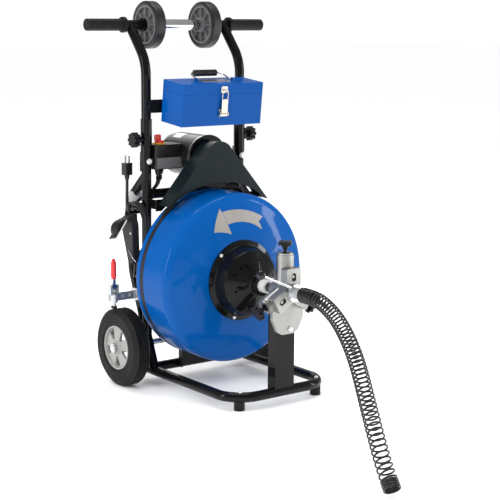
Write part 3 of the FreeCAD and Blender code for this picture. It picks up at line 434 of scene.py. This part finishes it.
def beyond(axis, place, sign=1, soft=0.0003):
    """A mask that is 1 past a plane across an axis."""

    def mask(tree):
        part = node(tree, "ShaderNodeSeparateXYZ", {0: where(tree)}).outputs[axis]
        return spread(tree, part, 0 if sign > 0 else 1, 1 if sign > 0 else 0, place - soft, place + soft)

    return mask


def both_masks(first, second):
    """A mask that is 1 where both of two are."""
    return lambda tree: sums(tree, "MULTIPLY", first(tree), second(tree))


BOX_PLACE, BOX_TILT, EDGE = (-2, -8.8, 737.8), math.radians(6.2), 0.0001


def in_box(low, high):
    """A mask that is 1 inside a block given in the leaning tool box's own millimetres."""
    across = Vector((0, math.cos(BOX_TILT), math.sin(BOX_TILT)))
    up = Vector((0, -math.sin(BOX_TILT), math.cos(BOX_TILT)))

    def mask(tree):
        apart = node(tree, "ShaderNodeVectorMath", {0: where(tree), 1: at(*BOX_PLACE)},
                     operation="SUBTRACT").outputs[0]
        share = None
        for axis, a, b in zip((Vector((1, 0, 0)), across, up), low, high):
            along = node(tree, "ShaderNodeVectorMath", {0: apart, 1: axis}, operation="DOT_PRODUCT")
            part = along.outputs["Value"]
            away = sums(tree, "ABSOLUTE", sums(tree, "SUBTRACT", part, (a + b) / 2 * MM))
            inside = spread(tree, away, 1, 0, (b - a) / 2 * MM - EDGE, (b - a) / 2 * MM + EDGE)
            share = inside if share is None else sums(tree, "MULTIPLY", share, inside)
        return share

    return mask


def dress(material, *names):
    """Give a finish to parts of the model or to pieces made here."""
    for name in names:
        piece = nodes[name] if name in nodes else bpy.data.objects[name]
        piece.data.materials.clear()
        piece.data.materials.append(material)


print("box directions lean back by", round(math.degrees(BOX_TILT), 1), "degrees")

# %% [markdown]
# ## Paint
# The drum and the tool box are gloss enamel over pressed sheet: strong colour under a clear wet skin,
# with the faint ripple that sprayed paint has. The tubes are the same in black.

# %% Mix the paints
floor_finish = finish("studio floor", (0.93, 0.93, 0.93), 0.75, drift=0.01, grain=0.02)
blue = finish("blue enamel", (0.0003, 0.07, 0.285), 0.3, drift=0.05, drift_scale=6, grain=0.02, grain_scale=260,
              grain_depth=0.0001, coat=0.2, coat_rough=0.05, gloss=0.03)
black = finish("black enamel", (0.003, 0.003, 0.0033), 0.3, drift=0.2, grain=0.02, grain_scale=420,
               grain_depth=0.0001, coat=0.35, coat_rough=0.05, gloss=0.06)
satin = finish("satin black", (0.006, 0.006, 0.0065), 0.42, drift=0.2, grain=0.12, grain_scale=600, gloss=0.3)
dress(floor_finish, "floor")
BOX_PAINT = dict(drift=0.05, drift_scale=6, grain=0.02, grain_scale=260, grain_depth=0.0001, coat=0.2,
                 coat_rough=0.05, gloss=0.03)
BRIGHT = ((0.66, 0.62, 0.55), 0.28, 1.0)
body_blue = finish("blue enamel with a latch base", (0.0003, 0.06, 0.265), 0.3, other=BRIGHT,
                   mask=in_box((-13.2, -60, -30), (13.2, -47.3, 26.9)), **BOX_PAINT)
keeper = in_box((-10.2, -60, 29.5), (10.2, -47.9, 47.5))
handle_plate = in_box((-43.2, -17, 54.03), (43.2, 17, 70))
lid_blue = finish("blue enamel with a keeper and a handle plate", (0.0003, 0.06, 0.265), 0.3, other=BRIGHT,
                  mask=lambda tree: sums(tree, "MAXIMUM", keeper(tree), handle_plate(tree)), **BOX_PAINT)
dress(blue, "drum_front", "drum_back")
dress(body_blue, "box_body")
dress(lid_blue, "box_lid")
dress(black, "base_rail", "uprights", "rear_braces", "cross_tubes", "handle_frame", "drum_hub", "feed_post",
      "motor_mount")
dress(satin, "bearing_channel", "box_bracket")
print("paints", len(FINISHES))

# %% [markdown]
# ## Metals
# Cast aluminium is pale, matt and pitted. Zinc plate is a satin grey, chrome is a clean mirror, and the
# guide hose's wire is black oxide over steel. The feed's rear neck is painted black, let in by a mask.

# %% Make the metals
cast = finish("cast aluminium", (0.4, 0.4, 0.385), 0.42, 1.0, drift=0.12, drift_scale=30, grain=0.5,
              grain_scale=520, grain_depth=0.0006)
LEVER_BALL, BALL_R, NECK_FRONT = at(-107, -352.4, 347), 0.0128, at(0, -276, 0).y
neck_mask = beyond(1, NECK_FRONT)
cast_body = finish("cast aluminium with a black neck", (0.4, 0.4, 0.385), 0.42, 1.0, drift=0.12, drift_scale=30,
                   grain=0.5, grain_scale=520, grain_depth=0.0006, mask=neck_mask,
                   other=((0.006, 0.006, 0.007), 0.3, 0.0))
zinc = finish("zinc plate", (0.56, 0.57, 0.58), 0.34, 0.7, drift=0.06, drift_scale=25, grain=0.06)
white_zinc = finish("dull white zinc", (0.7, 0.7, 0.69), 0.3, 0.35, drift=0.05, drift_scale=20, grain=0.05)
steel = finish("bright steel", (0.6, 0.6, 0.61), 0.28, 1.0, drift=0.1, drift_scale=50, grain=0.1)
chrome = finish("chrome", (0.78, 0.79, 0.8), 0.1, 1.0, drift=0.04, grain=0.02, rough_drift=0.04)
nickel = finish("nickel plate", (0.66, 0.61, 0.53), 0.3, 1.0, drift=0.08, drift_scale=70, grain=0.05)
spring_wire = finish("oiled spring wire", (0.006, 0.006, 0.0065), 0.28, 0.1, drift=0.3, drift_scale=80, grain=0.1,
                     coat=0.2)
brown_iron = finish("painted iron", (0.05, 0.05, 0.052), 0.5, 0.6, drift=0.25, drift_scale=40, grain=0.4)
chrome_ball = finish("chrome with a black ball", (0.78, 0.79, 0.8), 0.1, 1.0, drift=0.04, grain=0.02,
                     mask=within(None, LEVER_BALL, BALL_R), other=((0.005, 0.005, 0.006), 0.12, 0.0))
dress(cast, "feed_blocks")
dress(cast_body, "feed_body")
dress(zinc, "nose_tube", "brake_bracket")
dress(white_zinc, "frame_bolts", "drum_bolts", "hub_neck")
dress(steel, "wheel_axle", "drum_shaft", "motor_pulley", "feed_roller_top", "feed_roller_left",
      "feed_roller_right", "drain_cable")
dress(chrome, "spacer_tube")
dress(nickel, "latch_lever")
dress(spring_wire, "guide_hose")
dress(brown_iron, "rear_bearing")
dress(chrome_ball, "feed_lever")
print("metals made, finishes so far", len(FINISHES))

# %% [markdown]
# ## Rubber and plastic
# Tyres are matt, with moulded rings on their sidewalls. The rings and the hand grips' ridges are a sine
# wave fed to a bump, which needs no extra faces. The rest is moulded plastic.

# %% Make the rubbers and plastics
WHEEL_CENTRE = at(0, 78, 101.6)
RING_PITCH, RIDGE_PITCH = 0.0055, 0.007


def ring_relief(tree):
    """Moulded rings round a tyre's sidewall."""
    apart = node(tree, "ShaderNodeVectorMath", {0: where(tree), 1: WHEEL_CENTRE},
                 operation="SUBTRACT").outputs[0]
    flat = node(tree, "ShaderNodeVectorMath", {0: apart, 1: (0, 1, 1)}, operation="MULTIPLY").outputs[0]
    radius = node(tree, "ShaderNodeVectorMath", {0: flat}, operation="LENGTH").outputs["Value"]
    wave = sums(tree, "SINE", sums(tree, "MULTIPLY", radius, 2 * math.pi / RING_PITCH))
    return sums(tree, "MULTIPLY", wave, spread(tree, radius, 1, 0, 0.088, 0.09))


tyre = finish("tyre rubber", (0.0085, 0.0085, 0.009), 0.6, gloss=0.22, drift=0.25, drift_scale=20, grain=0.3,
              grain_scale=900, relief=ring_relief)
rim = finish("grey rim plastic", (0.28, 0.28, 0.27), 0.42, drift=0.06, drift_scale=25, grain=0.15)
rubber = finish("black rubber", (0.007, 0.007, 0.0075), 0.55, gloss=0.22, drift=0.2, grain=0.25)
plastic = finish("black plastic", (0.006, 0.006, 0.0065), 0.32, gloss=0.22, drift=0.2, grain=0.2,
                 grain_scale=900)


def ridge_relief(tree):
    """Fine ridges round a hand grip."""
    along = node(tree, "ShaderNodeSeparateXYZ", {0: where(tree)}).outputs[0]
    return sums(tree, "SINE", sums(tree, "MULTIPLY", along, 2 * math.pi / RIDGE_PITCH))


grip_rubber = finish("ribbed grip rubber", (0.007, 0.007, 0.0075), 0.45, gloss=0.22, drift=0.2, grain=0.2,
                     relief=ridge_relief)
cover = finish("charcoal cover", (0.0045, 0.0095, 0.0115), 0.34, drift=0.1, drift_scale=9, gloss=0.16, grain=0.2,
               grain_scale=800)
belt = finish("drive belt", (0.012, 0.009, 0.008), 0.6, drift=0.3, drift_scale=30, grain=0.4)
jacket = finish("cord jacket", (0.006, 0.006, 0.0065), 0.36, drift=0.2, grain=0.2)
print("rubbers and plastics made, finishes so far", len(FINISHES))

# %% [markdown]
# ## Parts of two materials
# Some parts are one solid but two materials: a black tyre on a grey hub, a grip on chrome wire, a red grip
# on a zinc arm, a yellow plate on the switch box. Each gets its second material through a mask.

# %% Make the double finishes
AXLE, HUB_R = at(0, 155.4, 931.7), 0.0497
BAIL_GRIP = (-0.0364, 0.0324)
ARM_TOP, PIN_ROOT, TIP_TOP, TREAD_BACK = 0.2808, 0.5771, 0.2097, -0.0035
loading = finish("hub plastic in a black tyre", (0.12, 0.12, 0.125), 0.42, drift=0.1, drift_scale=30, grain=0.3,
                 mask=lambda tree: sums(tree, "SUBTRACT", 1.0, within(0, AXLE, HUB_R)(tree)),
                 other=((0.007, 0.007, 0.0075), 0.42, 0.0))
bail = finish("chrome bail with a black grip", (0.005, 0.005, 0.0055), 0.26, drift=0.2, grain=0.2,
              mask=lambda tree: sums(tree, "MAXIMUM", beyond(0, BAIL_GRIP[1])(tree),
                                     beyond(0, BAIL_GRIP[0], -1)(tree)),
              other=((0.78, 0.79, 0.8), 0.12, 1.0))
red_grip = finish("red grip on a zinc arm", (0.55, 0.012, 0.012), 0.3, drift=0.1, grain=0.15, coat=0.3,
                  mask=beyond(2, ARM_TOP, -1), other=((0.64, 0.66, 0.69), 0.26, 1.0))
red_switch = finish("red switch handle", (0.6, 0.012, 0.01), 0.35, drift=0.08, grain=0.15, coat=0.3)
SWITCH, PLATE_R, PLATE_BACK = at(-106, 84, 626), 0.0172, 0.6262
switch_box = finish("switch box with a yellow plate", (0.006, 0.006, 0.0065), 0.34, drift=0.2, grain=0.25,
                    mask=both_masks(within(2, SWITCH, PLATE_R), beyond(2, PLATE_BACK)),
                    other=((0.75, 0.42, 0.015), 0.4, 0.0))
SEAM = (21, 26.5)
ring_mask = both_masks(beyond(1, at(0, SEAM[1], 0).y, -1), beyond(1, at(0, SEAM[0], 0).y))
motor = finish("motor shell with a bright seam", (0.007, 0.007, 0.0075), 0.3, drift=0.15, grain=0.2,
               grain_scale=800, gloss=0.3, mask=ring_mask, other=((0.62, 0.62, 0.61), 0.3, 1.0))
plug_finish = finish("plug with metal pins", (0.006, 0.006, 0.0065), 0.36, drift=0.2, grain=0.2,
                     mask=beyond(2, PIN_ROOT), other=((0.72, 0.7, 0.62), 0.22, 1.0))
PEDAL_HINGE = (-217, 80, 436)
treadle_turn = Matrix.Rotation(math.radians(-11), 3, "X") @ Matrix.Rotation(math.radians(40), 3, "Y")


def tread_underside(tree):
    """The treadle's pale inner plate, in the open treadle's own directions."""
    apart = node(tree, "ShaderNodeVectorMath", {0: where(tree), 1: at(*PEDAL_HINGE)},
                 operation="SUBTRACT").outputs[0]
    inward = treadle_turn @ Vector((1, 0, 0))
    depth = node(tree, "ShaderNodeVectorMath", {0: apart, 1: inward}, operation="DOT_PRODUCT").outputs["Value"]
    return spread(tree, depth, 0, 1, TREAD_BACK - EDGE, TREAD_BACK + EDGE)


treadle = finish("pedal tread with a pale underside", (0.008, 0.008, 0.0085), 0.45, drift=0.2, grain=0.3, gloss=0.3,
                 mask=tread_underside, other=((0.7, 0.7, 0.7), 0.4, 0.0))
plunger = finish("steel plunger with a rubber tip", (0.6, 0.6, 0.61), 0.28, 1.0, drift=0.1,
                 mask=beyond(2, TIP_TOP, -1), other=((0.008, 0.008, 0.008), 0.6, 0.0))
pedal_shell = finish("pedal shell", (0.014, 0.014, 0.015), 0.4, drift=0.12, grain=0.25, gloss=0.3)
print("double finishes made, finishes so far", len(FINISHES))

# %% [markdown]
# Every rubber and plastic part is now given its finish by name, with the cords made earlier.

# %% Dress the rubber and plastic parts
dress(tyre, "tyre_left", "tyre_right")
dress(rim, "rim_left", "rim_right")
dress(rubber, "rubber_feet")
dress(grip_rubber, "hand_grips")
dress(plastic, "clamp_knob_left", "clamp_knob_right", "feed_knob_top", "feed_knob_left", "feed_knob_right")
dress(cover, "belt_guard")
dress(belt, "drive_belt")
dress(jacket, "power_lead", "pedal_hose")
dress(loading, "loading_wheel_left", "loading_wheel_right")
dress(bail, "box_handle")
dress(red_grip, "brake_handle")
dress(red_switch, "switch_knob")
dress(switch_box, "switch_box")
dress(motor, "motor_body")
dress(plug_finish, "plug")
dress(treadle, "pedal_treadle")
dress(plunger, "brake_plunger")
dress(pedal_shell, "pedal_base")
print("finishes", len(FINISHES))

# %% [markdown]
# ## The arrow on the drum
# A curved arrow shows which way the drum turns. It is thin foil that follows the pressed face, so each of
# its points is dropped onto the drum's own surface. It is left without words.

# %% Lay the arrow on the drum


def surface_of(name):
    """A part's faces, ready to be hit by rays."""
    mesh = nodes[name].data
    return BVHTree.FromPolygons([v.co for v in mesh.vertices], [tuple(p.vertices) for p in mesh.polygons])


def grid(rows):
    """Vertices and faces of a sheet given as rows of points."""
    wide = len(rows[0])
    verts = [p for row in rows for p in row]
    faces = [(r * wide + c, r * wide + c + 1, (r + 1) * wide + c + 1, (r + 1) * wide + c)
             for r in range(len(rows) - 1) for c in range(wide - 1)]
    return verts, faces


drum_face = surface_of("drum_front")
DRUM_Z, IN_FRONT = 288, -200
LIFT = 0.35 * MM


def on_drum(radius, degrees):
    """A place a hair in front of the drum's face."""
    a = math.radians(degrees)
    start = at(radius * math.cos(a), IN_FRONT, DRUM_Z + radius * math.sin(a))
    hit = drum_face.ray_cast(start, Vector((0, 1, 0)))
    return hit[0] - Vector((0, LIFT, 0))


def between(a, b, share):
    """A value on the way from a to b."""
    return a + (b - a) * share


# Each pair is the arrow's inner and outer edge: degrees round the drum, then radii in millimetres.
NECK, TAIL, NOTCH = (104.9, 106.6), (60.4, 64.6), 5.5
NECK_R, TAIL_R = (151.5, 186.5), (142.0, 174.0)
BARBS, BARBS_R, TIP, TIP_R = (104.0, 107.4), (124.5, 197.0), 122.7, 153.5
ACROSS, BAND_STEPS, HEAD_STEPS = 8, 24, 8
band, head = [], []
for step in range(BAND_STEPS + 1):
    share = step / BAND_STEPS
    row = []
    for k in range(ACROSS + 1):
        v = k / ACROSS
        end = between(*TAIL, v) + NOTCH * (1 - abs(v - 0.5) * 2)
        degrees = between(between(*NECK, v), end, share)
        low, high = between(NECK_R[0], TAIL_R[0], share ** 2), between(NECK_R[1], TAIL_R[1], share)
        row.append(on_drum(between(low, high, v), degrees))
    band.append(row)
for step in range(HEAD_STEPS + 1):
    share = step / HEAD_STEPS
    row = []
    for k in range(ACROSS + 1):
        v = k / ACROSS
        radius, degrees = between(*BARBS_R, v), between(*BARBS, v)
        row.append(on_drum(between(radius, TIP_R, share), between(degrees, TIP, share)))
    head.append(row)
verts, faces = grid(band)
more, others = grid(head)
faces += [tuple(i + len(verts) for i in f) for f in others]
arrow = mesh_piece("turning_arrow", verts + more, faces)
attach(arrow, "drum")
foil = finish("printed foil", (0.26, 0.243, 0.225), 0.4, drift=0.08, drift_scale=18, grain=0.05, gloss=0.3)
dress(foil, "turning_arrow")
print("arrow faces", len(faces))

# %% [markdown]
# ## Labels
# The motor and the switch box carry labels, and the mains lead a paper tag. All are kept blank. Each is a
# sheet of small faces laid a hair proud of what it is on, and the tag curls a little.

# %% Stick on the labels
MOTOR_Z, MOTOR_R, CURL = 592.0, 56.4, 1.5
rows = [[at(MOTOR_R * math.cos(math.radians(a)), y, MOTOR_Z + MOTOR_R * math.sin(math.radians(a)))
         for y in range(93, 135, 6)] for a in range(102, 129, 3)]
motor_label = mesh_piece("motor_label", *grid(rows))
rows = [[at(x, 57.6, z) for x in range(-131, -50, 8)] for z in (564, 571, 578, 585, 592)]
box_label = mesh_piece("switch_label", *grid(rows))
rows = [[at(x, 125.5 - CURL * math.cos((x + 156) / 14), z + math.sin(x / 5)) for x in range(-175, -131, 4)]
        for z in range(474, 503, 4)]
lead_tag = mesh_piece("lead_tag", *grid(rows))
for piece, tint in ((motor_label, (0.7, 0.71, 0.72)), (box_label, (0.13, 0.13, 0.135)),
                    (lead_tag, (0.8, 0.8, 0.8))):
    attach(piece, "frame")
    dress(finish(piece.name + " stock", tint, 0.38, drift=0.05, grain=0.05, coat=0.2), piece.name)
print("labels", motor_label.name, box_label.name, lead_tag.name)

# %% [markdown]
# ## Small fittings
# Strain reliefs hold the cords where they leave the switch box, a bright wire runs from the pedal to the
# upright, a screw closes the pedal's shell, and weld beads close the joints of the frame's tubes. A ring
# helper makes most of them, as each is a bead round something.

# %% Add reliefs, a wire and weld beads


def ring(centre, axis, radius, thick, sides=40, uneven=0.0):
    """A bead round a tube: centre and axis in machine millimetres."""
    axis = Vector(axis).normalized()
    u = axis.orthogonal().normalized()
    v = axis.cross(u)
    verts, faces, round_ = [], [], 10
    for i in range(sides):
        a = 2 * math.pi * i / sides
        out = u * math.cos(a) + v * math.sin(a)
        fat = thick * (1 + uneven * math.sin(i * 2.4))
        for k in range(round_):
            b = 2 * math.pi * k / round_
            verts.append(at(*centre) + (out * (radius + fat * math.cos(b)) + axis * fat * math.sin(b)) * MM)
    for i in range(sides):
        for k in range(round_):
            j, m = (i + 1) % sides, (k + 1) % round_
            faces.append((i * round_ + k, j * round_ + k, j * round_ + m, i * round_ + m))
    return verts, faces


def gather(name, shapes):
    """One piece from several lists of vertices and faces."""
    verts, faces = [], []
    for more_verts, more_faces in shapes:
        faces += [tuple(i + len(verts) for i in f) for f in more_faces]
        verts += more_verts
    return mesh_piece(name, verts, faces)


reliefs = gather("strain_reliefs", [ring((x, y, z), (0, 0, 1), r, 1.5)
                                    for x, y, r0 in ((-114, 78, 4.4), (-95, 96, 3.4))
                                    for z, r in ((541, r0 + 0.6), (538, r0 + 0.4), (535, r0), (532, r0 - 0.2))])
beads = gather("weld_beads", [ring((side * 137.6, y, z), (1, 0, 0), 13.2, 1.7, 48, 0.16)
                              for side in (-1, 1) for y, z in ((78, 497), (75, 32.7))])
spring_points = [at(*p) for p in ((-214.5, 64.8, 359.8), (-216, 52, 347), (-215, 40, 337), (-206, 38, 328),
                                  (-196, 44, 322), (-184, 58, 318), (-163, 72, 317))]
spring_line = cord_curve("spring_line", spring_points, 0.002)
pedal_wire = tube("pedal_wire", line_of(spring_line, 10), 1.3 * MM, 8)
bpy.data.objects.remove(spring_line)
screw_verts, screw_faces = ring((-211.6, 59.5, 402.3), (1, 0, 0), 1.4, 1.9, 24)
pedal_screw = mesh_piece("pedal_screw", screw_verts, screw_faces)
for piece, paint, slot_name in ((reliefs, plastic, "black_plastic"), (pedal_screw, white_zinc, "steel"),
                                (beads, black, "black_paint"), (pedal_wire, chrome, "chrome")):
    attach(piece, "frame")
    dress(paint, piece.name)
print("fittings", reliefs.name, beads.name, pedal_wire.name)
